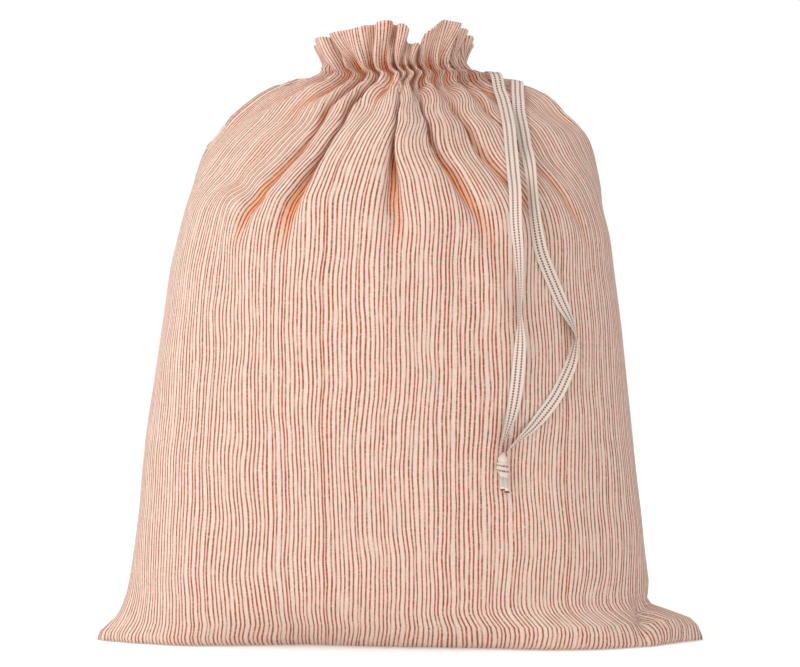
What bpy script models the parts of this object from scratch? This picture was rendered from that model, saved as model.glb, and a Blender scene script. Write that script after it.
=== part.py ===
"""A filled drawstring bag of striped cloth, standing on its sewn bottom, with a flat tape drawstring.

The bag is one tube of cloth with a seam at each side, sewn shut along its bottom and drawn in at its
casing. Its rows are closed loops round the bag, from the bottom seam up to the hem of the frill, and each
column keeps its place in the cloth, so that the folds run along the warp. Sizes are in millimetres, and MM
turns them into metres. +X is to the right of the front, which faces -Y.
"""

import math
from collections import namedtuple

import bmesh
import bpy
import numpy as np
from mathutils import Vector
from mathutils.bvhtree import BVHTree

MM = 0.001

# Driving dimensions
PANEL_WIDTH = 500.0  # each of the two panels, from seam to seam
CLOTH_WALL = 1.6
TAPE_WIDTH = 10.0
TAPE_THICKNESS = 1.2
CLEARANCE = 0.35  # between pieces that touch

# One row for each loop of the cloth: its height, how far it reaches to the left, right, front and back of
# the middle, how far the ears at the bottom corners reach past that, its fullness, which is 2 for an ellipse
# and 1 for straight sides, how far the loop dips at its front and back, and how steeply its folds stand, in
# degrees, which is 0 where they only go in and out.
Row = namedtuple("Row", "height left right front back left_ear right_ear fullness dip tilt")
ROWS = [
    Row(0.0, 208, 191, 0, 0, 34, 50, 2, 0, 0),
    Row(0.0, 208, 191, 34, 34, 34, 50, 2, 0, 0),
    Row(0.0, 209, 192, 56, 58, 34, 50, 2, 0, 0),
    Row(7.0, 211, 194, 69, 69, 30, 46, 2, 0, 0),
    Row(18.0, 212, 196, 81, 79, 17, 36, 2, 0, 0),
    Row(29.0, 213, 196, 88, 87, 10, 5, 2, 0, 0),
    Row(48.0, 213, 198, 95, 94, 5, 1, 2, 0, 0),
    Row(80.0, 212, 195, 102, 101, 1, 0, 2, 0, 0),
    Row(144.0, 206, 188, 114, 112, 0, 0, 2, 0, 0),
    Row(208.0, 197, 181, 126, 122, 0, 0, 2, 0, 0),
    Row(262.0, 189, 175, 133, 129, 0, 0, 2, 0, 4),
    Row(296.0, 184, 171, 136, 132, 0, 0, 2, 0, 8),
    Row(322.0, 179, 168, 136, 132, 0, 0, 2, 0, 12),
    Row(344.0, 175, 164, 133, 130, 0, 0, 1.9, 1, 16),
    Row(363.0, 171, 164, 127, 126, 0, 0, 1.6, 1, 20),
    Row(380.0, 167, 161, 119, 119, 0, 0, 1.35, 2, 25),
    Row(395.0, 161, 157, 109, 110, 0, 0, 1.2, 3, 32),
    Row(408.0, 149, 150, 98, 101, 0, 0, 1.1, 4, 38),
    Row(419.0, 137, 136, 87, 91, 0, 0, 1.0, 5, 42),
    Row(429.0, 125, 126, 76, 82, 0, 0, 0.95, 6, 45),
    Row(437.0, 114, 116, 67, 73, 0, 0, 0.9, 7, 45),
    Row(444.0, 100, 101, 59, 64, 0, 0, 0.9, 7, 40),
    Row(449.0, 84, 88, 54, 57, 0, 0, 1.0, 6, 25),
    Row(453.0, 70, 77, 51, 52, 0, 0, 1.4, 5, 10),
    Row(456.0, 66, 61, 49, 49, 0, 0, 2, 3, 0),
    Row(470.0, 66, 55, 54, 53, 0, 0, 2, 0, 0),
    Row(490.0, 67, 56, 60, 59, 0, 0, 2, 0, 0),
]
SEAM_ROW = 0
FLOOR_ROW = 2  # the last loop that lies on the floor
GATHER_ROW = 24  # the tightest loop, under the frill
FOLD_FOOT = 300.0  # the height where the folds have died out
EAR_SPREAD = 0.16  # how far round the loop an ear reaches, in radians
EAR_CLOTH = 0.12  # share of a panel's width that an ear's cloth comes from

# How far forward the foot of the front comes at places across it, up to FEET_FADE high
Foot = namedtuple("Foot", "x forward")
FEET = [
    Foot(-242, 0),
    Foot(-215, 10),
    Foot(-170, 6),
    Foot(-120, -8),
    Foot(-75, -20),
    Foot(-30, -12),
    Foot(20, -4),
    Foot(70, 6),
    Foot(110, 22),
    Foot(150, 30),
    Foot(195, 33),
    Foot(225, 16),
    Foot(241, 0),
]
FEET_FADE = 45.0

# Round the bag the tables go from the left seam by way of the front to the right seam, and on round the back.
# The long folds of the shoulders have their shares of the panel's width at the casing and low down, and
# their strength, which is negative where the fold is a valley.
Fold = namedtuple("Fold", "share low_share strength")
FRONT_FOLDS = [
    Fold(0.24, 0.210, 0.10),
    Fold(0.05, 0.055, -0.80),
    Fold(0.02, 0.020, 0.10),
    Fold(0.06, 0.070, -1.00),
    Fold(0.06, 0.125, 0.05),
    Fold(0.07, 0.070, -1.00),
    Fold(0.03, 0.080, 0.05),
    Fold(0.06, 0.060, -0.95),
    Fold(0.06, 0.040, 0.05),
    Fold(0.06, 0.060, -0.70),
    Fold(0.05, 0.040, 0.05),
    Fold(0.05, 0.040, -0.50),
    Fold(0.19, 0.130, 0.10),
]
BACK_FOLDS = [
    Fold(0.18, 0.16, 0.10),
    Fold(0.07, 0.07, -0.80),
    Fold(0.09, 0.10, 0.05),
    Fold(0.08, 0.08, -1.00),
    Fold(0.10, 0.12, 0.05),
    Fold(0.07, 0.07, -0.90),
    Fold(0.10, 0.11, 0.05),
    Fold(0.08, 0.08, -0.80),
    Fold(0.23, 0.21, 0.10),
]
FOLDS = FRONT_FOLDS + BACK_FOLDS

# The gathers at the casing, each a ridge between two valleys
Gather = namedtuple("Gather", "share strength")
FRONT_GATHERS = [
    Gather(0.090, 0.6),
    Gather(0.090, 0.8),
    Gather(0.085, 1.0),
    Gather(0.075, 1.0),
    Gather(0.060, 0.9),
    Gather(0.065, 1.0),
    Gather(0.050, 0.9),
    Gather(0.045, 0.9),
    Gather(0.060, 1.0),
    Gather(0.060, 0.9),
    Gather(0.050, 0.9),
    Gather(0.055, 1.0),
    Gather(0.075, 1.0),
    Gather(0.070, 0.8),
    Gather(0.070, 0.6),
]
BACK_GATHERS = [
    Gather(0.09, 0.7),
    Gather(0.08, 0.9),
    Gather(0.09, 1.0),
    Gather(0.07, 1.0),
    Gather(0.08, 0.9),
    Gather(0.06, 1.0),
    Gather(0.08, 1.0),
    Gather(0.07, 1.0),
    Gather(0.08, 1.0),
    Gather(0.07, 1.0),
    Gather(0.08, 1.0),
    Gather(0.07, 0.9),
    Gather(0.08, 0.7),
]
GATHERS = FRONT_GATHERS + BACK_GATHERS
COLUMNS_IN_GATHER = 4

# The frill: flat lobes with deep valleys between them, and how far the hem there leans out and drops
Lobe = namedtuple("Lobe", "share strength lean drop")
FRONT_LOBES = [
    Lobe(0.010, 0.00, 3, 15),
    Lobe(0.110, -1.00, 3, 15),
    Lobe(0.030, 0.10, 5, 12),
    Lobe(0.105, -1.00, 4, 12),
    Lobe(0.075, -0.10, 1, 9),
    Lobe(0.045, -0.50, 0, 6),
    Lobe(0.020, 0.10, 1, 4),
    Lobe(0.090, -1.00, 1, 5),
    Lobe(0.010, 0.10, 2, 7),
    Lobe(0.085, -1.00, 2, 20),
    Lobe(0.080, -1.00, 2, 24),
    Lobe(0.085, -0.15, 2, 1),
    Lobe(0.105, -1.00, 1, 3),
    Lobe(0.015, 0.10, 1, 5),
    Lobe(0.120, -1.00, 1, 6),
    Lobe(0.015, 0.00, 2, 8),
]
BACK_LOBES = [
    Lobe(0.015, 0.00, 3, 8),
    Lobe(0.105, -1.00, 6, 9),
    Lobe(0.045, 0.20, 9, 11),
    Lobe(0.100, -1.00, 10, 13),
    Lobe(0.060, -0.30, 10, 15),
    Lobe(0.105, -1.00, 9, 16),
    Lobe(0.050, 0.20, 9, 16),
    Lobe(0.105, -1.00, 10, 16),
    Lobe(0.060, -0.30, 10, 14),
    Lobe(0.100, -1.00, 9, 12),
    Lobe(0.050, 0.20, 8, 11),
    Lobe(0.105, -1.00, 7, 13),
    Lobe(0.035, 0.10, 5, 15),
    Lobe(0.050, -0.60, 4, 16),
    Lobe(0.015, 0.00, 3, 16),
]
LOBES = FRONT_LOBES + BACK_LOBES

# Where the folds and the gathers come in, as levels from 0 at the folds' foot to 1 at the casing
FOLDS_IN = 0.35
GATHERS_FROM = 0.70
GATHERS_IN = 0.30
FOLDS_AT_CASING = 0.25
LOBES_IN = 0.77  # share of the frill's height over which its lobes come in
MOST_SWING = 1.9  # radians that the cloth may turn away from the loop
NEARBY = 30.0  # cloth on each side over which the folds' crests are found and evened out
ROOM_SHARE = 0.7  # of the way to the cloth's other side that a fold may go in
SAMPLES = 540  # places in each panel where the folds are worked out
HALVINGS = 30  # steps in the search for the swing that fits the cloth into its span

# The tape's two strands, from where they leave the casing behind the right shoulder to the knot. Each point
# has its place, which is moved along the way it faces until the tape lies on the cloth. That way is level
# and to the front at 0 degrees and straight up at 90. A turn of 90 sets the tape on its edge.
Station = namedtuple("Station", "x y z faces turn width")
STRANDS = {
    "drawstring_left": [
        Station(72.0, 7, 453, 105, 0, TAPE_WIDTH),
        Station(74.5, 1, 452, 95, 0, TAPE_WIDTH),
        Station(77.5, -9, 447, 70, 0, TAPE_WIDTH),
        Station(82.5, -28, 431, 50, -10, TAPE_WIDTH),
        Station(84.5, -60, 405, 35, -10, TAPE_WIDTH),
        Station(85.0, -82, 383, 22, -5, TAPE_WIDTH),
        Station(86.3, -101, 355, 12, -20, TAPE_WIDTH),
        Station(86.5, -110, 326, 5, -30, TAPE_WIDTH),
        Station(88.5, -113, 303, 0, -45, TAPE_WIDTH),
        Station(89.8, -112, 278, 0, -68, TAPE_WIDTH),
        Station(89.8, -111, 259, 0, -80, TAPE_WIDTH),
        Station(90.2, -110, 246, 0, -60, TAPE_WIDTH),
        Station(90.0, -109, 233, 0, -30, TAPE_WIDTH),
        Station(88.7, -108, 216, 0, -5, TAPE_WIDTH),
        Station(87.5, -107, 203, 0, 0, TAPE_WIDTH),
        Station(85.6, -106, 190, 0, 10, TAPE_WIDTH),
        Station(82.6, -105, 177, 0, 35, 9),
        Station(78.6, -104, 165, 0, 65, 8),
        Station(76.3, -104, 158, 0, 80, 6),
        Station(75.4, -103, 152.6, 0, 85, 5),
    ],
    "drawstring_right": [
        Station(71.0, 26, 443, 120, 0, TAPE_WIDTH),
        Station(82.0, 24, 442, 115, 0, TAPE_WIDTH),
        Station(90.0, 13, 446, 105, 6, TAPE_WIDTH),
        Station(93.5, 1, 448, 90, 10, TAPE_WIDTH),
        Station(93.5, -16, 439, 65, 5, TAPE_WIDTH),
        Station(94.5, -40, 421, 45, 0, TAPE_WIDTH),
        Station(97.7, -77, 386, 25, -10, TAPE_WIDTH),
        Station(99.8, -92, 356, 12, -40, TAPE_WIDTH),
        Station(101.8, -102, 327, 5, -30, TAPE_WIDTH),
        Station(105.5, -103, 306, 0, -10, TAPE_WIDTH),
        Station(111.0, -101, 291, 0, 0, TAPE_WIDTH),
        Station(116.8, -97, 278, 0, 5, TAPE_WIDTH),
        Station(122.3, -93, 266, 0, 15, TAPE_WIDTH),
        Station(128.6, -88, 254, 0, 50, TAPE_WIDTH),
        Station(132.2, -85, 245.5, 0, 75, TAPE_WIDTH),
        Station(133.4, -84, 239, 0, 95, TAPE_WIDTH),
        Station(132.8, -84, 232, 0, 120, TAPE_WIDTH),
        Station(129.8, -86, 220, 0, 150, TAPE_WIDTH),
        Station(124.6, -89, 208, 0, 165, TAPE_WIDTH),
        Station(118.5, -92, 196, 0, 180, TAPE_WIDTH),
        Station(109.5, -95, 183.5, 0, 190, TAPE_WIDTH),
        Station(99.2, -98, 171.5, 0, 210, 9),
        Station(89.8, -100, 163, 0, 240, 7),
        Station(83.2, -102, 156.5, 0, 262, 6),
        Station(80.2, -102, 152.6, 0, 268, 5),
    ],
}
STATION_STEP = 2.0
TAPE_SPARE = 0.6  # more room under the tape, for the cloth between the places where it is felt for
TAPE_REACH = 5  # stations on each side over which the tape passes smoothly over what it lies on

# The knot and the tails below it as level loops: height, middle, half width and half depth of each
Loop = namedtuple("Loop", "z x wide deep")
KNOT_LOOPS = [
    Loop(138.2, 77.6, 2.6, 1.8),
    Loop(139.2, 77.4, 3.9, 3.0),
    Loop(141.4, 77.0, 4.5, 3.8),
    Loop(143.4, 77.0, 4.3, 3.6),
    Loop(144.4, 77.0, 3.9, 3.2),
    Loop(145.6, 77.0, 4.5, 3.7),
    Loop(148.0, 77.2, 4.7, 3.9),
    Loop(150.0, 77.5, 4.2, 3.4),
    Loop(151.2, 77.6, 2.9, 2.1),
]
TAIL_LOOPS = [
    Loop(125.0, 78.6, 2.6, 1.3),
    Loop(127.0, 78.4, 2.9, 1.6),
    Loop(131.0, 77.7, 2.7, 1.7),
    Loop(135.0, 77.2, 2.3, 1.6),
    Loop(137.8, 77.3, 1.9, 1.3),
]
LOOP_SIDES = 14
TRIM_Y = -106.0  # roughly where the knot hangs in front of the middle, before it is laid on the cloth


def smooth(x):
    """0 below 0, 1 above 1, and an even curve between."""
    x = np.clip(x, 0.0, 1.0)
    return x * x * (3.0 - 2.0 * x)


def starts_of(table):
    """Where each row of a table of shares starts along the cloth, and where the last one ends."""
    shares = np.array([entry.share for entry in table])
    return PANEL_WIDTH * np.concatenate([[0.0], np.cumsum(shares)])


def cloth_places(in_each):
    """Places round the cloth, evenly spread in every gather, without the last, which is the first again."""
    starts = starts_of(GATHERS)
    shares = np.arange(in_each) / in_each
    return np.concatenate([a + shares * (b - a) for a, b in zip(starts[:-1], starts[1:])])


def fold_starts(level):
    """Where each long fold starts at a level, and where the last one ends."""
    shares = np.array([fold.share * level + fold.low_share * (1.0 - level) for fold in FOLDS])
    return PANEL_WIDTH * np.concatenate([[0.0], np.cumsum(shares)])


def waves(table, starts, cloth):
    """One whole wave in each entry of the table, as strong as its strength, at the given places."""
    number = np.clip(np.searchsorted(starts, cloth, side="right") - 1, 0, len(table) - 1)
    passed = (cloth - starts[number]) / (starts[number + 1] - starts[number])
    return np.array([entry.strength for entry in table])[number] * np.sin(2.0 * math.pi * passed)


def blended(values, cloth):
    """Values given at the middle of every lobe, running smoothly from one to the next."""
    starts = starts_of(LOBES)
    middles = (starts[:-1] + starts[1:]) / 2.0
    return np.interp(cloth, middles, values, period=2 * PANEL_WIDTH)


def plain_loop(row, inset, count=1440):
    """A row's loop without folds, from the left seam round by the front, drawn in by an inset."""
    turn = np.linspace(0.0, 2.0 * math.pi, count + 1)
    across, deep = np.cos(turn), np.sin(turn)
    side = np.where(across > 0, row.left, row.right) - inset
    depth = np.maximum(np.where(deep > 0, row.front, row.back) - inset, 0.0)
    ear = np.where(across > 0, row.left_ear, row.right_ear) * np.exp(-((deep / EAR_SPREAD) ** 2))
    power = 2.0 / row.fullness
    x = (side * np.abs(across) ** power + ear) * np.sign(across)
    y = depth * np.abs(deep) ** power * np.sign(deep)
    return np.stack([-x, -y], axis=1)


def lengths(points):
    """How far along a line each of its points is."""
    steps = np.linalg.norm(np.diff(points, axis=0), axis=1)
    return np.concatenate([[0.0], np.cumsum(steps)])


def folded_panel(wave, step, span, most):
    """How far along its loop and how high over its valleys each place of a panel's cloth comes.

    The cloth swings to and fro about the loop's direction, as far as it must to fit into the span.
    """
    low, high = 0.0, most
    for _ in range(HALVINGS):
        swing = (low + high) / 2.0
        if np.sum(np.cos(swing * wave)) * step > span:
            low = swing
        else:
            high = swing
    along = np.concatenate([[0.0], np.cumsum(np.cos(swing * wave))]) * step
    rise = np.concatenate([[0.0], np.cumsum(np.sin(swing * wave))]) * step
    return along * span / along[-1], rise - np.linspace(0.0, rise[-1], len(rise))


def frill_share(row_number):
    """How far up the frill a row is, from 0 at the casing to 1 at the hem."""
    return max(0.0, row_number - GATHER_ROW) / (len(ROWS) - 1 - GATHER_ROW)


def row_wave(row_number, level, cloth):
    """The shape of a row's folds: the long folds low down, then the gathers, and the frill's lobes."""
    gathers = waves(GATHERS, starts_of(GATHERS), cloth)
    folds = waves(FOLDS, fold_starts(level), cloth)
    lobes = waves(LOBES, starts_of(LOBES), cloth)
    come_in = smooth((level - GATHERS_FROM) / GATHERS_IN)
    frill = smooth(frill_share(row_number) / LOBES_IN)
    body = come_in * gathers + (1.0 - (1.0 - FOLDS_AT_CASING) * come_in) * folds
    return (1.0 - frill) * body + frill * lobes


def places_on(loop, at):
    """The points that far along a closed loop."""
    run = lengths(loop)
    return np.stack([np.interp(at, run, loop[:, k], period=run[-1]) for k in (0, 1)], axis=1)


def outward_on(loop, at, reach=3.0):
    """The level outward direction at places that far along a closed loop."""
    along = places_on(loop, at + reach) - places_on(loop, at - reach)
    along /= np.linalg.norm(along, axis=1, keepdims=True)
    return np.stack([along[:, 1], -along[:, 0]], axis=1)


def crests_over(rise, step):
    """The level of the highest cloth near each place round a row, evened out."""
    reach = int(NEARBY / step)
    around = np.tile(rise[:-1], 3)
    highest = around.copy()
    for shift in range(1, reach + 1):
        highest = np.maximum(highest, np.maximum(np.roll(around, shift), np.roll(around, -shift)))
    window = np.hanning(2 * reach + 3)
    even = np.convolve(highest, window / window.sum(), mode="same")
    count = len(rise) - 1
    return even[count : 2 * count + 1]


def folded_row(row_number, row):
    """A row's cloth folded to fit its loop, as places round it and in shares of the loop and depths.

    The depths are measured in from the folds' crests, which keep to the loop.
    """
    level = float(np.clip((row.height - FOLD_FOOT) / (ROWS[GATHER_ROW].height - FOLD_FOOT), 0.0, 1.0))
    step = PANEL_WIDTH / SAMPLES
    wave = row_wave(row_number, level, step * (np.arange(2 * SAMPLES) + 0.5))
    most = MOST_SWING / np.abs(wave).max()
    inset = 0.0
    for _ in range(5):
        run = lengths(plain_loop(row, inset))
        front_span = run[len(run) // 2]
        panels = []
        for part, span in ((wave[:SAMPLES], front_span), (wave[SAMPLES:], run[-1] - front_span)):
            cloth_step = (span + (PANEL_WIDTH - span) * smooth(level / FOLDS_IN)) / SAMPLES
            panels.append(folded_panel(part, cloth_step, span, most))
        rise = np.concatenate([panels[0][1][:-1], panels[1][1]])
        depth = rise - crests_over(rise, step)
        inset = -float(np.mean(depth))
    share = np.concatenate([panels[0][0][:-1], front_span + panels[1][0]]) / run[-1]
    return step * np.arange(2 * SAMPLES + 1), share, depth


def eased_places(row, loop, share):
    """Places along a loop for shares of it, with the ears' cloth drawn from near the seams only."""
    quarters = np.linspace(0, len(loop) - 1, 5).astype(int)
    with_ears = lengths(loop)[quarters]
    bare = lengths(plain_loop(row._replace(left_ear=0, right_ear=0), 0.0))[quarters]
    ears = np.diff(with_ears) - np.diff(bare)
    middle = with_ears[2] / with_ears[4]
    at = []
    for panel, (start, end) in enumerate(((0.0, middle), (middle, 1.0))):
        passed = np.clip((share - start) / (end - start), 0.0, 1.0)
        place = with_ears[2 * panel] + passed * (bare[2 * panel + 2] - bare[2 * panel])
        place += ears[2 * panel] * (1.0 - np.exp(-passed / EAR_CLOTH))
        place += ears[2 * panel + 1] * np.exp((passed - 1.0) / EAR_CLOTH)
        at.append(place)
    return np.where(share <= middle, at[0], at[1])


def feet_forward(points):
    """How far forward the foot of the front comes at each point of a row."""
    places = [foot.x for foot in FEET]
    low = 1.0 - smooth(points[:, 2] / FEET_FADE)
    front = smooth(-points[:, 1] / 12.0)
    return np.interp(points[:, 0], places, [foot.forward for foot in FEET]) * low * front


def row_points(row_number, columns):
    """A row's points on the outside of the cloth, and the level outward direction at each."""
    row = ROWS[row_number]
    cloth, share, depth = folded_row(row_number, row)
    loop = plain_loop(row, 0.0)
    at = eased_places(row, loop, np.interp(columns, cloth, share))
    place, outward = places_on(loop, at), outward_on(loop, at)
    tip_room = (row.fullness - 1.0) * row.front**2 / row.left
    room = ROOM_SHARE * np.maximum(np.abs(place[:, 1]), max(tip_room, 0.1))
    lift = room * np.tanh(np.interp(columns, cloth, depth) / room)
    tilt = math.radians(row.tilt)
    to_front = place[:, 1] / max(row.front, 1.0)
    height = row.height + lift * math.sin(tilt) - row.dip * np.minimum(to_front**2, 1.0)
    return np.column_stack([place + outward * (lift * math.cos(tilt))[:, None], height]), outward


def bag_grid():
    """The outside of the bag, as (rows, columns, 3)."""
    columns = cloth_places(COLUMNS_IN_GATHER)
    lean = blended([lobe.lean for lobe in LOBES], columns)
    drop = blended([lobe.drop for lobe in LOBES], columns)
    grid = []
    for row_number in range(len(ROWS)):
        points, outward = row_points(row_number, columns)
        points[:, :2] += outward * (lean * frill_share(row_number))[:, None]
        points[:, 2] -= drop * frill_share(row_number)
        points[:, 1] -= feet_forward(points)
        grid.append(points)
    grid = np.array(grid)
    low, high = grid.min(axis=(0, 1)), grid.max(axis=(0, 1))
    grid[:, :, :2] -= (low + high)[:2] / 2.0
    return grid


def outside_directions(grid):
    """The direction out of the cloth at each point of a grid whose rows are closed loops."""
    round_bag = np.roll(grid, -1, axis=1) - np.roll(grid, 1, axis=1)
    directions = np.cross(round_bag, np.gradient(grid, axis=0))
    directions[: FLOOR_ROW + 1] = (0.0, 0.0, -1.0)
    for tip, side in ((0, -1.0), (grid.shape[1] // 2, 1.0)):
        directions[: FLOOR_ROW + 1, tip] = (side, 0.0, -1.0)
    return directions / np.linalg.norm(directions, axis=2, keepdims=True)


def material(name, colour, roughness):
    """A plain cloth finish."""
    made = bpy.data.materials.new(name)
    made.use_nodes = True
    shader = made.node_tree.nodes["Principled BSDF"]
    shader.inputs["Base Color"].default_value = (*colour, 1.0)
    shader.inputs["Roughness"].default_value = roughness
    shader.inputs["Metallic"].default_value = 0.0
    return made


def add_object(name, points, faces, finish):
    """A smooth-shaded mesh object from points in millimetres."""
    mesh = bpy.data.meshes.new(name)
    mesh.from_pydata([tuple(MM * c for c in point) for point in points], [], faces)
    mesh.shade_smooth()
    mesh.materials.append(finish)
    made = bpy.data.objects.new(name, mesh)
    bpy.context.scene.collection.objects.link(made)
    return made


def sew_bottom(grid):
    """Brings the two panels' lowest rows together into one seam."""
    columns = grid.shape[1]
    for column in range(1, columns // 2):
        middle = (grid[SEAM_ROW, column] + grid[SEAM_ROW, columns - column]) / 2.0
        grid[SEAM_ROW, column] = middle
        grid[SEAM_ROW, columns - column] = middle


def cloth_wall(outer, inner):
    """The closed wall between two grids, joined at the hem, with each grid shut along the bottom seam."""
    rows, columns, _ = outer.shape
    points, faces, index = [], [], {}
    for side, grid in enumerate((outer, inner)):
        for row in range(rows):
            for column in range(columns):
                if row == SEAM_ROW and column > columns // 2:
                    index[side, row, column] = index[side, row, columns - column]
                    continue
                index[side, row, column] = len(points)
                points.append(grid[row, column])
    for row in range(rows - 1):
        for column in range(columns):
            after = (column + 1) % columns
            corners = [(row, column), (row, after), (row + 1, after), (row + 1, column)]
            faces.append([index[(0, *corner)] for corner in corners])
            faces.append([index[(1, *corner)] for corner in reversed(corners)])
    for column in range(columns):
        after = (column + 1) % columns
        hem = [(0, column), (0, after), (1, after), (1, column)]
        faces.append([index[side, rows - 1, place] for side, place in hem])
    return points, faces


def make_bag(finish):
    """The cloth bag, its bottom lying on the floor and its neck drawn in."""
    outer = bag_grid()
    sew_bottom(outer)
    inner = outer - outside_directions(outer) * CLOTH_WALL
    sew_bottom(inner)
    points, faces = cloth_wall(outer, inner)
    return add_object("bag_body", points, faces, finish)


def surface_of(bag):
    """The bag's surface, in millimetres, to lay the tape on."""
    points = [vertex.co / MM for vertex in bag.data.vertices]
    return BVHTree.FromPolygons(points, [tuple(face.vertices) for face in bag.data.polygons])


def clearance_over(surface, points, facing):
    """How far each point is from the first cloth met on the way in against its facing."""
    far = 80.0
    nothing_there = 99.0
    gaps = []
    for point, way in zip(points, facing):
        start = Vector(point + way * far)
        hit = surface.ray_cast(start, Vector(-way))
        gaps.append(hit[3] - far if hit[0] else nothing_there)
    return np.array(gaps)


def smooth_route(stations):
    """Every column of the route's table along a smooth curve, with a row about every STATION_STEP."""
    table = np.array([tuple(station) for station in stations], float)
    ends = (2 * table[0] - table[1], 2 * table[-1] - table[-2])
    padded = np.vstack([ends[0], table, ends[1]])
    rows = []
    for before, start, end, after in zip(padded, padded[1:], padded[2:], padded[3:]):
        count = max(1, round(float(np.linalg.norm((end - start)[:3])) / STATION_STEP))
        for t in np.arange(count) / count:
            bend = (2 * before - 5 * start + 4 * end - after) * t**2
            twist = (3 * start - before - 3 * end + after) * t**3
            rows.append(start + ((end - before) * t + bend + twist) / 2.0)
    return np.array(rows + [table[-1]])


def unit(vectors):
    return vectors / np.linalg.norm(vectors, axis=1, keepdims=True)


def tape_points(stations, surface):
    """Four corners of the tape at every station of a strand, laid on the cloth, as (stations, 4, 3)."""
    route = smooth_route(stations)
    middle = route[:, :3]
    faces, turn, width = np.radians(route[:, 3]), np.radians(route[:, 4]), route[:, 5]
    facing = np.stack([np.zeros(len(route)), -np.cos(faces), np.sin(faces)], axis=1)
    need = CLEARANCE + TAPE_THICKNESS / 2.0 + TAPE_SPARE
    window = np.hanning(2 * TAPE_REACH + 3)[1:-1]
    for _ in range(3):
        side = unit(np.cross(np.gradient(middle, axis=0), facing))
        across = np.cos(turn)[:, None] * side + np.sin(turn)[:, None] * facing
        offsets = np.linspace(-0.52, 0.52, 9)
        gaps = [clearance_over(surface, middle + across * (width * o)[:, None], facing) for o in offsets]
        raise_by = need - np.min(gaps, axis=0)
        around = np.pad(raise_by, TAPE_REACH, mode="edge")
        highest = [around[start : start + len(route)] for start in range(2 * TAPE_REACH + 1)]
        wide = np.pad(np.max(highest, axis=0), TAPE_REACH, mode="edge")
        even = np.convolve(wide, window / window.sum(), mode="valid")
        middle += facing * np.maximum(even, raise_by)[:, None]
    thick = unit(np.cross(across, np.gradient(middle, axis=0))) * TAPE_THICKNESS / 2.0
    half = across * (width / 2.0)[:, None]
    corners = ((1, 1), (-1, 1), (-1, -1), (1, -1))
    return np.stack([middle + half * a + thick * b for a, b in corners], axis=1)


def loop_points(loops):
    """Level loops one above another, as (loops, sides, 3)."""
    turn = 2.0 * math.pi * np.arange(LOOP_SIDES) / LOOP_SIDES
    rings = []
    for loop in loops:
        x, y = loop.x + loop.wide * np.cos(turn), TRIM_Y + loop.deep * np.sin(turn)
        rings.append(np.column_stack([x, y, np.full(LOOP_SIDES, loop.z)]))
    return np.array(rings)


def laid_on(rings, surface):
    """Rings moved as one to the front or back until they lie on the cloth."""
    points = rings.reshape(-1, 3)
    front = np.tile([0.0, -1.0, 0.0], (len(points), 1))
    gap = clearance_over(surface, points, front).min()
    return rings + front[0] * (CLEARANCE - gap)


def add_skinned(name, rings, finish):
    """A closed solid through rings of points, its ends capped."""
    count, sides, _ = rings.shape
    faces = [list(range(sides)), [(count - 1) * sides + k for k in range(sides)]]
    for ring in range(count - 1):
        for k in range(sides):
            near, after = ring * sides + k, ring * sides + (k + 1) % sides
            faces.append([near, after, after + sides, near + sides])
    made = add_object(name, rings.reshape(-1, 3), faces, finish)
    tidy = bmesh.new()
    tidy.from_mesh(made.data)
    bmesh.ops.recalc_face_normals(tidy, faces=tidy.faces)
    tidy.to_mesh(made.data)
    tidy.free()
    return made


def make_tape(surface, finish):
    """The drawstring's two strands, the knot that joins them and the tails under it."""
    for name, stations in STRANDS.items():
        add_skinned(name, tape_points(stations, surface), finish)
    add_skinned("drawstring_knot", laid_on(loop_points(KNOT_LOOPS), surface), finish)
    add_skinned("drawstring_tails", laid_on(loop_points(TAIL_LOOPS), surface), finish)


def clear_scene():
    for old in list(bpy.data.objects):
        bpy.data.objects.remove(old)


def main():
    clear_scene()
    cloth = material("striped_cloth", (0.71, 0.48, 0.37), 0.9)
    tape = material("tape", (0.70, 0.60, 0.52), 0.85)
    bag = make_bag(cloth)
    make_tape(surface_of(bag), tape)


main()
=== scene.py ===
"""The looks of the filled drawstring bag: striped cloth in folds and gathers, and a flat, knotted tape.

The cloth follows the solid's rows, gathers and long folds, and adds the creases and soft swells of the
photograph. Sizes are in millimetres, and MM turns them into metres.
"""

import math
from collections import namedtuple

import bpy
import numpy as np
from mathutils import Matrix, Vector, noise
from mathutils.bvhtree import BVHTree


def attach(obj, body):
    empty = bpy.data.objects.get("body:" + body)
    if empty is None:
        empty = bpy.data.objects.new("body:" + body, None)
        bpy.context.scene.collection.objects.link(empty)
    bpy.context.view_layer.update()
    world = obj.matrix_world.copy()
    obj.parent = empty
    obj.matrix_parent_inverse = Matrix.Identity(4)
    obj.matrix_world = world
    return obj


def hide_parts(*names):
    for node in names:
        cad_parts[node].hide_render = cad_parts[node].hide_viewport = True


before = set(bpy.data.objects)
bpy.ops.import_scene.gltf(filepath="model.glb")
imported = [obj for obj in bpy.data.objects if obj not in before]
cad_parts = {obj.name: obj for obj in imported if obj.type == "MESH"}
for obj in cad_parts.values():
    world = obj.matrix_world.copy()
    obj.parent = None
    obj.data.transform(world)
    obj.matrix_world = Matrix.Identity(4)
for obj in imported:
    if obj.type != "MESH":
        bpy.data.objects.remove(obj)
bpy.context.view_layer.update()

MM = 0.001

# Driving dimensions
PANEL_WIDTH = 500.0  # each of the two panels, from seam to seam
CLOTH_THICKNESS = 0.9
TAPE_WIDTH = 10.0
TAPE_THICKNESS = 0.8
CLEARANCE = 0.3  # between the tape and the cloth

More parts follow.
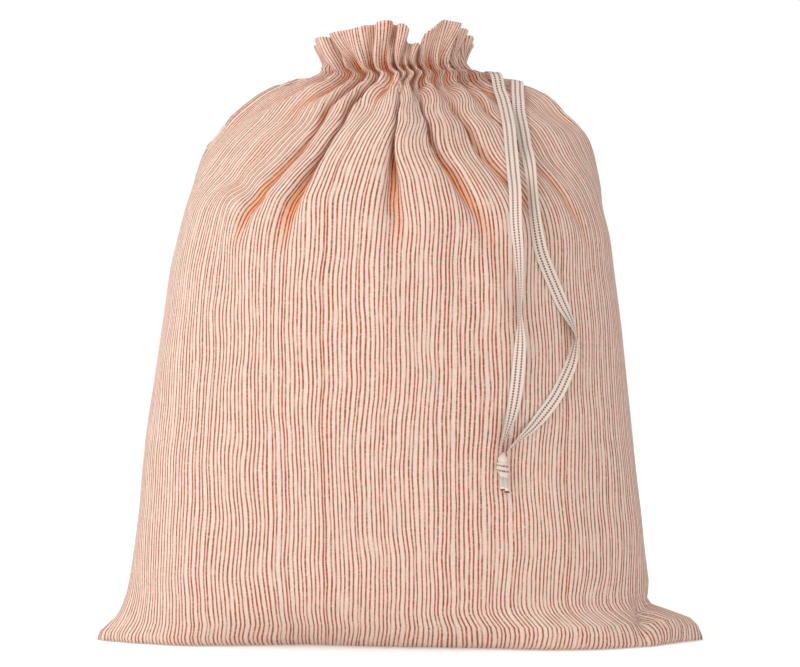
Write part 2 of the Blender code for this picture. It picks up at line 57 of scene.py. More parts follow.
# One row for each loop of the cloth: its height, how far it reaches to the left, right, front and back, how
# far the ears at the bottom corners reach past that, its fullness, 2 for an ellipse and 1 for straight sides,
# how far it dips at its front and back, and how steeply its folds stand, in degrees.
COLUMNS = "height left right front back left_ear right_ear fullness dip tilt"
Row = namedtuple("Row", COLUMNS, defaults=[0, 0, 2, 0, 0])
ROWS = [Row(*row) for row in (
    (0, 208, 191, 0, 0, 34, 50),
    (0, 208, 191, 34, 34, 34, 50),
    (0, 209, 192, 56, 58, 34, 50),
    (7, 211, 194, 69, 69, 30, 46),
    (18, 212, 196, 81, 79, 17, 36),
    (29, 213, 196, 88, 87, 10, 5),
    (48, 213, 198, 95, 94, 5, 1),
    (80, 212, 195, 102, 101, 1),
    (144, 206, 188, 114, 112),
    (208, 197, 181, 126, 122),
    (262, 189, 175, 133, 129, 0, 0, 2, 0, 4),
    (296, 184, 171, 136, 132, 0, 0, 2, 0, 8),
    (322, 179, 168, 136, 132, 0, 0, 2, 0, 12),
    (344, 175, 164, 133, 130, 0, 0, 1.9, 1, 16),
    (363, 171, 164, 127, 126, 0, 0, 1.6, 1, 20),
    (380, 167, 161, 119, 119, 0, 0, 1.35, 2, 25),
    (395, 161, 157, 109, 110, 0, 0, 1.2, 3, 32),
    (408, 149, 150, 98, 101, 0, 0, 1.1, 4, 38),
    (419, 137, 136, 87, 91, 0, 0, 1.0, 5, 42),
    (429, 125, 126, 76, 82, 0, 0, 0.95, 6, 45),
    (437, 114, 116, 67, 73, 0, 0, 0.9, 7, 45),
    (444, 100, 101, 59, 64, 0, 0, 0.9, 7, 40),
    (449, 84, 88, 54, 57, 0, 0, 1.0, 6, 25),
    (453, 70, 77, 51, 52, 0, 0, 1.4, 5, 10),
    (456, 66, 61, 49, 49, 0, 0, 2, 3),
    (470, 66, 55, 54, 53),
    (490, 67, 56, 60, 59),
)]
SEAM_ROW = 0
FLOOR_ROW = 2  # the last loop that lies on the floor
GATHER_ROW = 24  # the tightest loop, under the frill
FOLD_FOOT = 300.0  # the height where the folds have died out
EAR_SPREAD = 0.16  # how far round the loop an ear reaches, in radians
EAR_CLOTH = 0.12  # share of a panel's width that an ear's cloth comes from
BODY_STEP = 7.0  # between the fine rows of the body
NECK_STEP = 3.0  # between those above NECK_FROM
NECK_FROM = 330.0

# The cloth of the left shoulder slides back to the seam, which leaves a flat panel before the first fold
SLIDE = 20.0
SLIDE_REACH = 150.0
SLIDE_FOOT = 340.0
SLIDE_TOP = 420.0
SLIDE_IN = 32.0
SLIDE_SKEW = 0.75  # below 1, so that the cloth slides most near the seam

# How far forward the foot of the front comes at places across it, up to FEET_FADE high
Foot = namedtuple("Foot", "x forward")
FEET = Foot(
    x=(-242, -215, -170, -120, -75, -30, 20, 70, 110, 150, 195, 225, 241),
    forward=(0, 10, 6, -8, -20, -12, -4, 6, 22, 30, 33, 16, 0),
)
FEET_FADE = 45.0
FEET_FRONT = 12.0  # how far in front of the side seams the foot has come forward in full

# Round the bag the tables go from the left seam by way of the front to the right seam, and on round the back.
# The long folds of the shoulders have their shares of the panel's width at the casing and low down, and
# their strength, which is negative where the fold is a valley.
Fold = namedtuple("Fold", "share low_share strength")
FRONT_FOLDS = [
    (0.24, 0.210, 0.1),
    (0.05, 0.055, -0.8),
    (0.02, 0.020, 0.1),
    (0.06, 0.070, -1.0),
    (0.06, 0.125, 0.05),
    (0.07, 0.070, -1.0),
    (0.03, 0.080, 0.05),
    (0.06, 0.060, -0.95),
    (0.06, 0.040, 0.05),
    (0.06, 0.060, -0.7),
    (0.05, 0.040, 0.05),
    (0.05, 0.040, -0.5),
    (0.19, 0.130, 0.1),
]
BACK_FOLDS = [
    (0.18, 0.16, 0.1),
    (0.07, 0.07, -0.8),
    (0.09, 0.10, 0.05),
    (0.08, 0.08, -1.0),
    (0.10, 0.12, 0.05),
    (0.07, 0.07, -0.9),
    (0.10, 0.11, 0.05),
    (0.08, 0.08, -0.8),
    (0.23, 0.21, 0.1),
]
FOLDS = [Fold(*row) for row in FRONT_FOLDS + BACK_FOLDS]

# The gathers at the casing, each a ridge between two valleys
Gather = namedtuple("Gather", "share strength")
FRONT_GATHERS = [
    (0.090, 0.6), (0.090, 0.8), (0.085, 1.0), (0.075, 1.0), (0.060, 0.9),
    (0.065, 1.0), (0.050, 0.9), (0.045, 0.9), (0.060, 1.0), (0.060, 0.9),
    (0.050, 0.9), (0.055, 1.0), (0.075, 1.0), (0.070, 0.8), (0.070, 0.6),
]
BACK_GATHERS = [
    (0.09, 0.7), (0.08, 0.9), (0.09, 1.0), (0.07, 1.0), (0.08, 0.9),
    (0.06, 1.0), (0.08, 1.0), (0.07, 1.0), (0.08, 1.0), (0.07, 1.0),
    (0.08, 1.0), (0.07, 0.9), (0.08, 0.7),
]
GATHERS = [Gather(*row) for row in FRONT_GATHERS + BACK_GATHERS]
COLUMNS_IN_GATHER = 12

# The frill: flat lobes with deep valleys between them, and how far the hem there leans out and drops
Lobe = namedtuple("Lobe", "share strength lean drop")
FRONT_LOBES = [
    (0.010, 0.0, 3, 15),
    (0.110, -1.0, 3, 15),
    (0.030, 0.1, 5, 12),
    (0.105, -1.0, 4, 12),
    (0.075, -0.1, 1, 9),
    (0.045, -0.5, 0, 6),
    (0.020, 0.1, 1, 4),
    (0.090, -1.0, 1, 5),
    (0.010, 0.1, 2, 7),
    (0.085, -1.0, 2, 20),
    (0.080, -1.0, 2, 24),
    (0.085, -0.15, 2, 1),
    (0.105, -1.0, 1, 3),
    (0.015, 0.1, 1, 5),
    (0.120, -1.0, 1, 6),
    (0.015, 0.0, 2, 8),
]
BACK_LOBES = [
    (0.015, 0.0, 3, 8),
    (0.105, -1.0, 6, 9),
    (0.045, 0.2, 9, 11),
    (0.100, -1.0, 10, 13),
    (0.060, -0.3, 10, 15),
    (0.105, -1.0, 9, 16),
    (0.050, 0.2, 9, 16),
    (0.105, -1.0, 10, 16),
    (0.060, -0.3, 10, 14),
    (0.100, -1.0, 9, 12),
    (0.050, 0.2, 8, 11),
    (0.105, -1.0, 7, 13),
    (0.035, 0.1, 5, 15),
    (0.050, -0.6, 4, 16),
    (0.015, 0.0, 3, 16),
]
LOBES = [Lobe(*row) for row in FRONT_LOBES + BACK_LOBES]

# Where the folds and the gathers come in, as levels from 0 at the folds' foot to 1 at the casing
FOLDS_IN = 0.35
GATHERS_FROM = 0.70
GATHERS_IN = 0.30
FOLDS_AT_CASING = 0.25
LOBES_IN = 0.77  # share of the frill's height over which its lobes come in
MOST_SWING = 1.9  # radians that the cloth may turn away from the loop
STEEP_FROM = 0.5  # the strength of wave that counts as a fold's side, not as a flat panel
MOST_NARROWING = 0.5  # how much of a fold's own width gives way first, to leave the flat panels theirs
STRAIGHT_ROWS = ((17, GATHER_ROW), (GATHER_ROW, 26))  # between these the cloth runs straight
CALM_CASING = 0.6  # how much less the cloth goes to and fro at the casing than its gathers would have it
EVEN_UP = 13.0  # height over which the folds' places and depths are evened out from row to row
EVEN_UP_LESS = 0.8  # how much less than that at the casing and over it
CASING_FROM = 23
CASING_IN = 3.0  # rows under that over which it gets less
NEARBY = 30.0  # cloth on each side over which the folds' crests are found and evened out
ROOM_SHARE = 0.7  # of the way to the cloth's other side that a fold may go in
SAMPLES = 540  # places in each panel where the folds are worked out
HALVINGS = 30  # steps in the search for the swing that fits the cloth into its span
INSET_ROUNDS = 5  # in the search for the loop that the folds' crests keep to

# Creases and soft swells of the front: from one place to another, each as its x and height, with the rise of
# the middle over the cloth around, which is negative for a trough, and the reach to each side.
Crease = namedtuple("Crease", "from_x from_z to_x to_z rise reach")
CREASES = [
    (-133, 370, -104, 338, -2.4, 8),
    (-60, 440, -130, 372, 2.0, 10),
    (-131, 352, -121, 304, 2.5, 8),
    (-31, 428, -24, 410, -2.5, 6),
    (-150, 330, -128, 262, -2.0, 12),
    (-95, 262, -88, 205, 1.6, 14),
    (-20, 300, -8, 226, 1.8, 14),
    (34, 318, 64, 262, -2.2, 10),
    (62, 300, 78, 232, 2.0, 12),
    (-170, 120, -158, 46, 1.8, 14),
    (112, 150, 126, 70, 1.6, 14),
    (190, 33, 192, 5, -8.0, 6),
    (203, 24, 224, 10, 4.0, 7),
]
CREASES_BACK_TO = 20.0  # how far behind the side seams they have died out

# The cloth's own unevenness: how high and how far apart its swells are, and the seed of their noise
Swell = namedtuple("Swell", "rise apart seed")
SWELLS = [
    Swell(1.6, 110.0, 3.1),
    Swell(0.5, 45.0, 7.7),
]
SWELLS_TO = 16.0  # the row where they start to die out
SWELLS_OUT = 5.0  # rows over which they do so
FLOOR_LIFT = 4.0  # rows over which the cloth gets free of the floor

STITCH_ROWS = (21.4, 24.0)  # the two lines of stitches along the casing
STITCH_REACH = 0.3  # rows to each side that a line of stitches draws in
STITCH_DEPTH = 1.3
PUCKER = Swell(1.2, 6.0, 5.3)  # the little puckers at the stitches, in shares of that depth
PUCKER_LEAST = 0.7
GATHERED_FROM = 16  # the row above which the stripes start to keep to the gathers

# Painted shade in the valleys of the folds: a warm, darker tint in the cloth's colour, strongest where the
# cloth lies deepest under the cloth round it
FULL_SHADE_DEPTH = 3.0  # how far under the cloth round it a valley is where its painted shade is full
VALLEY_REACH = 7  # columns on each side that count as the cloth round it
FRILL_LESS_SHADE = 0.75  # how much less of that painted shade the frill has

# The tape's strands, with the same stations as the solids: where each is, how far up from the front its face
# looks and how far it is turned, both in degrees, and how wide the tape is there
Station = namedtuple("Station", "x y z faces turn width", defaults=[TAPE_WIDTH])
LEFT_STRAND = [
    (72.0, 7, 453, 105, 0),
    (74.5, 1, 452, 95, 0),
    (77.5, -9, 447, 70, 0),
    (82.5, -28, 431, 50, -10),
    (84.5, -60, 405, 35, -10),
    (85.0, -82, 383, 22, -5),
    (86.3, -101, 355, 12, -20),
    (86.5, -110, 326, 5, -30),
    (88.5, -113, 303, 0, -45),
    (89.8, -112, 278, 0, -68),
    (89.8, -111, 259, 0, -80),
    (90.2, -110, 246, 0, -60),
    (90.0, -109, 233, 0, -30),
    (88.7, -108, 216, 0, -5),
    (87.5, -107, 203, 0, 0),
    (85.6, -106, 190, 0, 10),
    (82.6, -105, 177, 0, 35, 9),
    (78.6, -104, 165, 0, 65, 8),
    (76.3, -104, 158, 0, 80, 6),
    (75.4, -103, 152.6, 0, 85, 5),
]
RIGHT_STRAND = [
    (71.0, 26, 443, 120, 0),
    (82.0, 24, 442, 115, 0),
    (90.0, 13, 446, 105, 6),
    (93.5, 1, 448, 90, 10),
    (93.5, -16, 439, 65, 5),
    (94.5, -40, 421, 45, 0),
    (97.7, -77, 386, 25, -10),
    (99.8, -92, 356, 12, -40),
    (101.8, -102, 327, 5, -30),
    (105.5, -103, 306, 0, -10),
    (111.0, -101, 291, 0, 0),
    (116.8, -97, 278, 0, 5),
    (122.3, -93, 266, 0, 15),
    (128.6, -88, 254, 0, 50),
    (132.2, -85, 245.5, 0, 75),
    (133.4, -84, 239, 0, 95),
    (132.8, -84, 232, 0, 120),
    (129.8, -86, 220, 0, 150),
    (124.6, -89, 208, 0, 165),
    (118.5, -92, 196, 0, 180),
    (109.5, -95, 183.5, 0, 190),
    (99.2, -98, 171.5, 0, 210, 9),
    (89.8, -100, 163, 0, 240, 7),
    (83.2, -102, 156.5, 0, 262, 6),
    (80.2, -102, 152.6, 0, 268, 5),
]
STATION_STEP = 1.6
LAYING_ROUNDS = 3  # in laying a strand on the cloth
LAID_AT = 7  # places across the tape that are held off the cloth
EDGE_THINNER = 0.5  # how much of its thickness the tape loses at its edges

# The knot and the two tails as level loops: the height, middle, half width and half depth of each
Loop = namedtuple("Loop", "z x wide deep")
KNOT_LOOPS = [
    (153.0, 78.0, 1.6, 1.0),
    (151.0, 77.7, 1.8, 1.3),
    (149.8, 77.5, 2.8, 2.2),
    (148.2, 77.4, 3.6, 3.0),
    (146.4, 77.3, 3.7, 3.1),
    (145.4, 77.2, 3.2, 2.6),
    (144.6, 77.0, 4.1, 3.4),
    (142.8, 76.9, 4.7, 3.9),
    (141.4, 77.0, 4.7, 3.9),
    (140.8, 77.1, 4.3, 3.5),
    (140.0, 77.2, 4.7, 3.9),
    (138.4, 77.4, 4.6, 3.8),
    (137.4, 77.6, 4.0, 3.2),
    (136.8, 77.7, 3.5, 2.8),
    (135.4, 78.0, 3.6, 2.8),
    (134.2, 78.1, 2.4, 1.8),
]
KNOT_SLANT = 0.16  # how much lower the wraps are on their right
KNOT_X = 77.2
KNOT_MIDDLE = 141.0  # the height between its two rows of dashes
TAILS = [
    [(135.4, 76.9, 1.2, 0.9), (131.0, 76.6, 1.7, 0.9), (127.0, 77.0, 1.8, 0.7), (124.4, 77.6, 1.7, 0.6)],
    [(135.4, 79.0, 1.2, 0.9), (131.0, 79.6, 1.5, 0.9), (126.0, 80.3, 1.6, 0.7), (122.6, 80.8, 1.5, 0.6)],
]
FRAYED = 5  # loose ends of yarn at each tail
FRAY_LENGTH = 1.8
YARN = 0.3  # half the thickness of a loose end
YARN_ROOT = 0.4  # how far up its tail it starts
LOOP_SIDES = 24
TRIM_Y = -106.0  # roughly where the knot hangs before it is laid on the cloth
TAPE_REACH = 6  # stations on each side over which the tape passes smoothly over what it lies on
TAPE_COLUMNS = 8  # faces across the tape

# The view of the photograph
CAMERA_DISTANCE = 1778.0
CAMERA_HEIGHT = 200.0
LENS = 100.0
SENSOR = 36.0
SHIFT = 0.0706

# The studio: a floor that shines a little, a room that is brighter on one side, and a large soft lamp, whose
# place, aim and size are in metres
FLOOR_REACH = 6000.0
FLOOR_SHINE = 0.30
ROOM_LIGHT = 1.0
ROOM_SIDE = (-0.54, -0.45, -0.04)
ROOM_COLOUR = (1.0, 0.98, 0.96, 1.0)
LAMP_PLACE = (-1.5, -1.5, 1.5)
LAMP_AIM = (0.0, 0.0, 0.25)
LAMP_SIZE = 1.1
LAMP_POWER = 11.0
LAMP_COLOUR = (1.0, 0.97, 0.93)


def smooth(x):
    """0 below 0, 1 above 1, and an even curve between."""
    x = np.clip(x, 0.0, 1.0)
    return x * x * (3.0 - 2.0 * x)


def starts_of(table):
    """Where each row of a table of shares starts along the cloth, and where the last one ends."""
    shares = np.array([entry.share for entry in table])
    return PANEL_WIDTH * np.concatenate([[0.0], np.cumsum(shares)])


def cloth_places(in_each):
    """Places round the cloth, evenly spread in every gather, without the last, which is the first again."""
    starts = starts_of(GATHERS)
    shares = np.arange(in_each) / in_each
    return np.concatenate([a + shares * (b - a) for a, b in zip(starts[:-1], starts[1:])])


def fold_starts(level):
    """Where each long fold starts at a level, and where the last one ends."""
    shares = np.array([fold.share * level + fold.low_share * (1.0 - level) for fold in FOLDS])
    return PANEL_WIDTH * np.concatenate([[0.0], np.cumsum(shares)])


def waves(table, starts, cloth):
    """One whole wave in each entry of the table, as strong as its strength, at the given places."""
    number = np.clip(np.searchsorted(starts, cloth, side="right") - 1, 0, len(table) - 1)
    passed = (cloth - starts[number]) / (starts[number + 1] - starts[number])
    return np.array([entry.strength for entry in table])[number] * np.sin(2.0 * math.pi * passed)


def blended(values, cloth):
    """Values given at the middle of every lobe, running smoothly from one to the next."""
    starts = starts_of(LOBES)
    middles = (starts[:-1] + starts[1:]) / 2.0
    return np.interp(cloth, middles, values, period=2 * PANEL_WIDTH)


def plain_loop(row, inset, count=1440):
    """A row's loop without folds, from the left seam round by the front, drawn in by an inset."""
    turn = np.linspace(0.0, 2.0 * math.pi, count + 1)
    across, deep = np.cos(turn), np.sin(turn)
    side = np.where(across > 0, row.left, row.right) - inset
    depth = np.maximum(np.where(deep > 0, row.front, row.back) - inset, 0.0)
    ear = np.where(across > 0, row.left_ear, row.right_ear) * np.exp(-((deep / EAR_SPREAD) ** 2))
    power = 2.0 / row.fullness
    x = (side * np.abs(across) ** power + ear) * np.sign(across)
    y = depth * np.abs(deep) ** power * np.sign(deep)
    return np.stack([-x, -y], axis=1)


def lengths(points):
    """How far along a line each of its points is."""
    steps = np.linalg.norm(np.diff(points, axis=0), axis=1)
    return np.concatenate([[0.0], np.cumsum(steps)])


def folded_panel(wave, step, span, most):
    """How far along its loop and how high over its valleys each place of a panel's cloth comes."""
    low, high = 0.0, most
    for _ in range(HALVINGS):
        swing = (low + high) / 2.0
        if np.sum(np.cos(swing * wave)) * step > span:
            low = swing
        else:
            high = swing
    onward = np.cos(swing * wave)
    steep = smooth(np.abs(wave) / STEEP_FROM)
    spare = max(0.0, onward.sum() - span / step) / max((onward * steep).sum(), 1.0)
    onward = onward * (1.0 - min(spare, MOST_NARROWING) * steep)
    along = np.concatenate([[0.0], np.cumsum(onward)]) * step
    rise = np.concatenate([[0.0], np.cumsum(np.sin(swing * wave))]) * step
    return along * span / along[-1], rise - np.linspace(0.0, rise[-1], len(rise))


def frill_share(row_number):
    """How far up the frill a row is, from 0 at the casing to 1 at the hem."""
    return max(0.0, row_number - GATHER_ROW) / (len(ROWS) - 1 - GATHER_ROW)


def row_wave(row_number, level, cloth):
    """The shape of a row's folds: the long folds low down, then the gathers, and the frill's lobes."""
    gathers = waves(GATHERS, starts_of(GATHERS), cloth)
    folds = waves(FOLDS, fold_starts(level), cloth)
    lobes = waves(LOBES, starts_of(LOBES), cloth)
    come_in = smooth((level - GATHERS_FROM) / GATHERS_IN)
    frill = smooth(frill_share(row_number) / LOBES_IN)
    body = come_in * gathers + (1.0 - (1.0 - FOLDS_AT_CASING) * come_in) * folds
    return (1.0 - frill) * body + frill * lobes


def places_on(loop, at):
    """The points that far along a closed loop."""
    run = lengths(loop)
    return np.stack([np.interp(at, run, loop[:, k], period=run[-1]) for k in (0, 1)], axis=1)


def outward_on(loop, at, reach=3.0):
    """The level outward direction at places that far along a closed loop."""
    along = places_on(loop, at + reach) - places_on(loop, at - reach)
    along /= np.linalg.norm(along, axis=1, keepdims=True)
    return np.stack([along[:, 1], -along[:, 0]], axis=1)


def crests_over(rise, step):
    """The level of the highest cloth near each place round a row, evened out."""
    reach = int(NEARBY / step)
    around = np.tile(rise[:-1], 3)
    highest = around.copy()
    for shift in range(1, reach + 1):
        highest = np.maximum(highest, np.maximum(np.roll(around, shift), np.roll(around, -shift)))
    window = np.hanning(2 * reach + 3)
    even = np.convolve(highest, window / window.sum(), mode="same")
    count = len(rise) - 1
    return even[count : 2 * count + 1]


def folded_row(row_number, row):
    """A row's cloth folded to fit its loop, as places round it and in shares of the loop and depths.

    The depths are measured in from the folds' crests, which keep to the loop.
    """
    level = float(np.clip((row.height - FOLD_FOOT) / (ROWS[GATHER_ROW].height - FOLD_FOOT), 0.0, 1.0))
    step = PANEL_WIDTH / SAMPLES
    wave = row_wave(row_number, level, step * (np.arange(2 * SAMPLES) + 0.5))
    most = MOST_SWING / np.abs(wave).max()
    inset = 0.0
    for _ in range(INSET_ROUNDS):
        run = lengths(plain_loop(row, inset))
        front_span = run[len(run) // 2]
        panels = []
        for part, span in ((wave[:SAMPLES], front_span), (wave[SAMPLES:], run[-1] - front_span)):
            cloth_step = (span + (PANEL_WIDTH - span) * smooth(level / FOLDS_IN)) / SAMPLES
            panels.append(folded_panel(part, cloth_step, span, most))
        rise = np.concatenate([panels[0][1][:-1], panels[1][1]])
        depth = rise - crests_over(rise, step)
        inset = -float(np.mean(depth))
    share = np.concatenate([panels[0][0][:-1], front_span + panels[1][0]]) / run[-1]
    return step * np.arange(2 * SAMPLES + 1), share, depth


def eased_places(row, loop, share):
    """Places along a loop for shares of it, with the ears' cloth drawn from near the seams only."""
    quarters = np.linspace(0, len(loop) - 1, 5).astype(int)
    with_ears = lengths(loop)[quarters]
    bare = lengths(plain_loop(row._replace(left_ear=0, right_ear=0), 0.0))[quarters]
    ears = np.diff(with_ears) - np.diff(bare)
    middle = with_ears[2] / with_ears[4]
    at = []
    for panel, (start, end) in enumerate(((0.0, middle), (middle, 1.0))):
        passed = np.clip((share - start) / (end - start), 0.0, 1.0)
        place = with_ears[2 * panel] + passed * (bare[2 * panel + 2] - bare[2 * panel])
        place += ears[2 * panel] * (1.0 - np.exp(-passed / EAR_CLOTH))
        place += ears[2 * panel + 1] * np.exp((passed - 1.0) / EAR_CLOTH)
        at.append(place)
    return np.where(share <= middle, at[0], at[1])


def shoulder_slide(at, height):
    """How far the cloth of the left shoulder has slid back to the left seam, at places round a loop."""
    high = smooth((height - SLIDE_FOOT) / SLIDE_IN) * (1.0 - smooth((height - SLIDE_TOP) / SLIDE_IN))
    passed = np.clip(at / SLIDE_REACH, 0.0, 1.0)
    return SLIDE * high * np.sin(math.pi * passed**SLIDE_SKEW) ** 2


def feet_forward(points):
    """How far forward the foot of the front comes at each point of a row."""
    low = 1.0 - smooth(points[:, 2] / FEET_FADE)
    front = smooth(-points[:, 1] / FEET_FRONT)
    return np.interp(points[:, 0], FEET.x, FEET.forward) * low * front


def row_points(row, share, depth):
    """A row's points on the outside of the cloth, with the outward direction and the fold's lift at each."""
    loop = plain_loop(row, 0.0)
    at = eased_places(row, loop, share)
    at = at - shoulder_slide(at, row.height)
    place, outward = places_on(loop, at), outward_on(loop, at)
    tip_room = (row.fullness - 1.0) * row.front**2 / row.left
    room = ROOM_SHARE * np.maximum(np.abs(place[:, 1]), max(tip_room, 0.1))
    lift = room * np.tanh(depth / room)
    tilt = math.radians(row.tilt)
    to_front = place[:, 1] / max(row.front, 1.0)
    height = row.height + lift * math.sin(tilt) - row.dip * np.minimum(to_front**2, 1.0)
    return np.column_stack([place + outward * (lift * math.cos(tilt))[:, None], height]), outward, lift


def straight_into(values, rows):
    """Values of every row and column, made to run straight between the STRAIGHT_ROWS."""
    numbers = np.array([number for number, _ in rows])
    for first, last in STRAIGHT_ROWS:
        start, end = values[numbers == first][0], values[numbers == last][0]
        inner = (numbers > first) & (numbers < last)
        passed = smooth((numbers[inner] - first) / (last - first))
        values[inner] = start + (end - start) * passed[:, None]
    return values


def evened_up(values, rows):
    """Values of every row and column evened out over the rows near each row in height."""
    heights = np.array([row.height for _, row in rows])
    numbers = np.array([number for number, _ in rows])
    reach = EVEN_UP * (1.0 - EVEN_UP_LESS * smooth((numbers - CASING_FROM + CASING_IN) / CASING_IN))
    nearness = np.exp(-(((heights[:, None] - heights[None, :]) / reach[:, None]) ** 2))
    nearness[numbers <= FLOOR_ROW + 2] = 0.0
    nearness[np.arange(len(rows)), np.arange(len(rows))] = 1.0
    spread = np.gradient(heights)
    weights = nearness * np.maximum(spread, 0.1)[None, :]
    return (weights / weights.sum(axis=1, keepdims=True)) @ values


def between(table, number, passed):
    """A row of numbers a share of the way from one row of a table to the next, on a smooth curve."""
    before, start = table[max(number - 1, 0)], table[number]
    end, after = table[number + 1], table[min(number + 2, len(table) - 1)]
    bend = (2 * before - 5 * start + 4 * end - after) * passed**2
    twist = (3 * start - before - 3 * end + after) * passed**3
    return start + ((end - before) * passed + bend + twist) / 2.0


def fine_rows():
    """The table's rows and finer ones between them, each with its place in the table."""
    table = np.array([tuple(row) for row in ROWS], float)
    rows = []
    for number in range(len(ROWS) - 1):
        span = np.abs(table[number + 1] - table[number])[:5].max()
        step = NECK_STEP if ROWS[number + 1].height > NECK_FROM else BODY_STEP
        count = max(1, math.ceil(span / step))
        for k in range(count):
            row = between(table, number, k / count)
            if number < FLOOR_ROW:
                row[0] = 0.0
            row[1:7] = np.maximum(row[1:7], 0.0)
            rows.append((number + k / count, Row(*row)))
    rows.append((float(len(ROWS) - 1), ROWS[-1]))
    return rows


def painted_valley_shade(lift):
    """How strong the painted shade of a valley is at each place of a row: how far it lies under the cloth
    round it, as a share of a deep fold.
    """
    window = np.hanning(2 * VALLEY_REACH + 3)
    around = np.convolve(np.tile(lift, 3), window / window.sum(), mode="same")[len(lift) : 2 * len(lift)]
    return np.clip((around - lift) / FULL_SHADE_DEPTH, 0.0, 1.0)


def bag_grid():
    """The outside of the bag as rows and columns of points, with their places and the painted shade of the
    folds' valleys.
    """
    columns = cloth_places(COLUMNS_IN_GATHER)
    lean = blended([lobe.lean for lobe in LOBES], columns)
    drop = blended([lobe.drop for lobe in LOBES], columns)
    rows = fine_rows()
    shares, lifts = [], []
    for number, row in rows:
        cloth, share, depth = folded_row(number, row)
        shares.append(np.interp(columns, cloth, share))
        lifts.append(np.interp(columns, cloth, depth))
    numbers, shares = np.array([number for number, _ in rows]), np.array(shares)
    (first, casing), (_, last) = STRAIGHT_ROWS
    calm = (shares[numbers == first] + shares[numbers == last]) / 2.0
    shares[numbers == casing] += (calm - shares[numbers == casing]) * CALM_CASING
    shares = evened_up(straight_into(shares, rows), rows)
    lifts = evened_up(straight_into(np.array(lifts), rows), rows)
    grid, valley_shades = [], []
    for (number, row), share, depth in zip(rows, shares, lifts):
        points, outward, lift = row_points(row, share, depth)
        points[:, :2] += outward * (lean * frill_share(number))[:, None]
        points[:, 2] -= drop * frill_share(number)
        points[:, 1] -= feet_forward(points)
        grid.append(points)
        # Painted shade for the valleys of the folds, with less of it in the frill
        in_frill = smooth(2.0 * frill_share(number))
        valley_shades.append(painted_valley_shade(lift) * (1.0 - FRILL_LESS_SHADE * in_frill))
    grid = np.array(grid)
    low, high = grid.min(axis=(0, 1)), grid.max(axis=(0, 1))
    grid[:, :, :2] -= (low + high)[:2] / 2.0
    return grid, numbers, columns, np.array(valley_shades)


def outside_directions(grid, floor_rows):
    """The direction out of the cloth at each point of a grid whose rows are closed loops."""
    round_bag = np.roll(grid, -1, axis=1) - np.roll(grid, 1, axis=1)
    directions = np.cross(round_bag, np.gradient(grid, axis=0))
    directions[:floor_rows] = (0.0, 0.0, -1.0)
    size = np.linalg.norm(directions, axis=2, keepdims=True)
    return directions / np.maximum(size, 1e-9)


def crease_rise(crease, points):
    """How far a crease of the front raises the cloth at each point of a grid."""
    start = np.array([crease.from_x, crease.from_z])
    way = np.array([crease.to_x, crease.to_z]) - start
    long = np.linalg.norm(way)
    way = way / long
    aside_x, aside_z = points[:, :, 0] - start[0], points[:, :, 2] - start[1]
    along = aside_x * way[0] + aside_z * way[1]
    aside = aside_x * way[1] - aside_z * way[0]
    ends = smooth(0.5 + along / crease.reach / 3.0) * smooth(0.5 + (long - along) / crease.reach / 3.0)
    front = smooth(1.0 - points[:, :, 1] / CREASES_BACK_TO)
    return crease.rise * np.exp(-((aside / crease.reach) ** 2)) * ends * front


def swelling(swell, across, up):
    """How far swells raise the cloth at each place, the same at both ends of its round."""
    turn = 2.0 * math.pi * across / (2 * PANEL_WIDTH)
    radius = 2 * PANEL_WIDTH / (2.0 * math.pi)
    places = np.stack([radius * np.cos(turn), radius * np.sin(turn), up], axis=-1) / swell.apart + swell.seed
    values = [noise.noise(Vector(place)) for place in places.reshape(-1, 3)]
    return swell.rise * np.array(values).reshape(across.shape)


def measured_across(grid, numbers, columns):
    """Places across the cloth, evenly spread along each half of a panel in every row, up to the seams.

    A row has one more than its columns, as it ends where it starts. In the gathers and the frill every column
    keeps to its own place in the cloth.
    """
    closed = np.concatenate([grid, grid[:, :1]], axis=1)
    run = np.linalg.norm(np.diff(closed, axis=1), axis=2)
    run = np.concatenate([np.zeros((len(grid), 1)), np.cumsum(run, axis=1)], axis=1)
    places = np.append(columns, 2 * PANEL_WIDTH)
    quarters = [np.searchsorted(places, PANEL_WIDTH * share) for share in (0.0, 0.5, 1.0, 1.5, 2.0)]
    even = [np.interp(row, row[quarters], places[quarters]) for row in run]
    gathered = smooth((numbers - GATHERED_FROM) / (GATHER_ROW - GATHERED_FROM))[:, None]
    return even + (places - even) * gathered


def cloth_heights(grid):
    """How far up the cloth each row is from the bottom seam, measured along the cloth."""
    steps = np.linalg.norm(np.diff(grid, axis=0), axis=2)
    return np.concatenate([[0.0], np.cumsum(np.median(steps, axis=1))])


def dressed_grid():
    """The bag's grid with its creases, stitches and swells, the cloth's coordinates and the painted shade of
    the folds' valleys.
    """
    grid, numbers, columns, valley_shades = bag_grid()
    floor_rows = int(np.sum(numbers <= FLOOR_ROW))
    up = cloth_heights(grid)
    across, upward = np.meshgrid(columns, up)
    rise = np.zeros_like(across)
    for row in CREASES:
        rise += crease_rise(Crease(*row), grid)
    unevenness = sum(swelling(swell, across, upward) for swell in SWELLS)
    puckers = STITCH_DEPTH * (PUCKER_LEAST + swelling(PUCKER, across, upward))
    for stitches in STITCH_ROWS:
        rise -= puckers * np.exp(-(((numbers - stitches) / STITCH_REACH) ** 2))[:, None]
    above_floor = smooth((numbers - FLOOR_ROW) / FLOOR_LIFT)
    below_casing = 1.0 - smooth((numbers - SWELLS_TO) / SWELLS_OUT)
    rise = (rise + unevenness * below_casing[:, None]) * above_floor[:, None]
    grid = grid + outside_directions(grid, floor_rows) * rise[:, :, None]
    return grid, numbers, up, columns, valley_shades


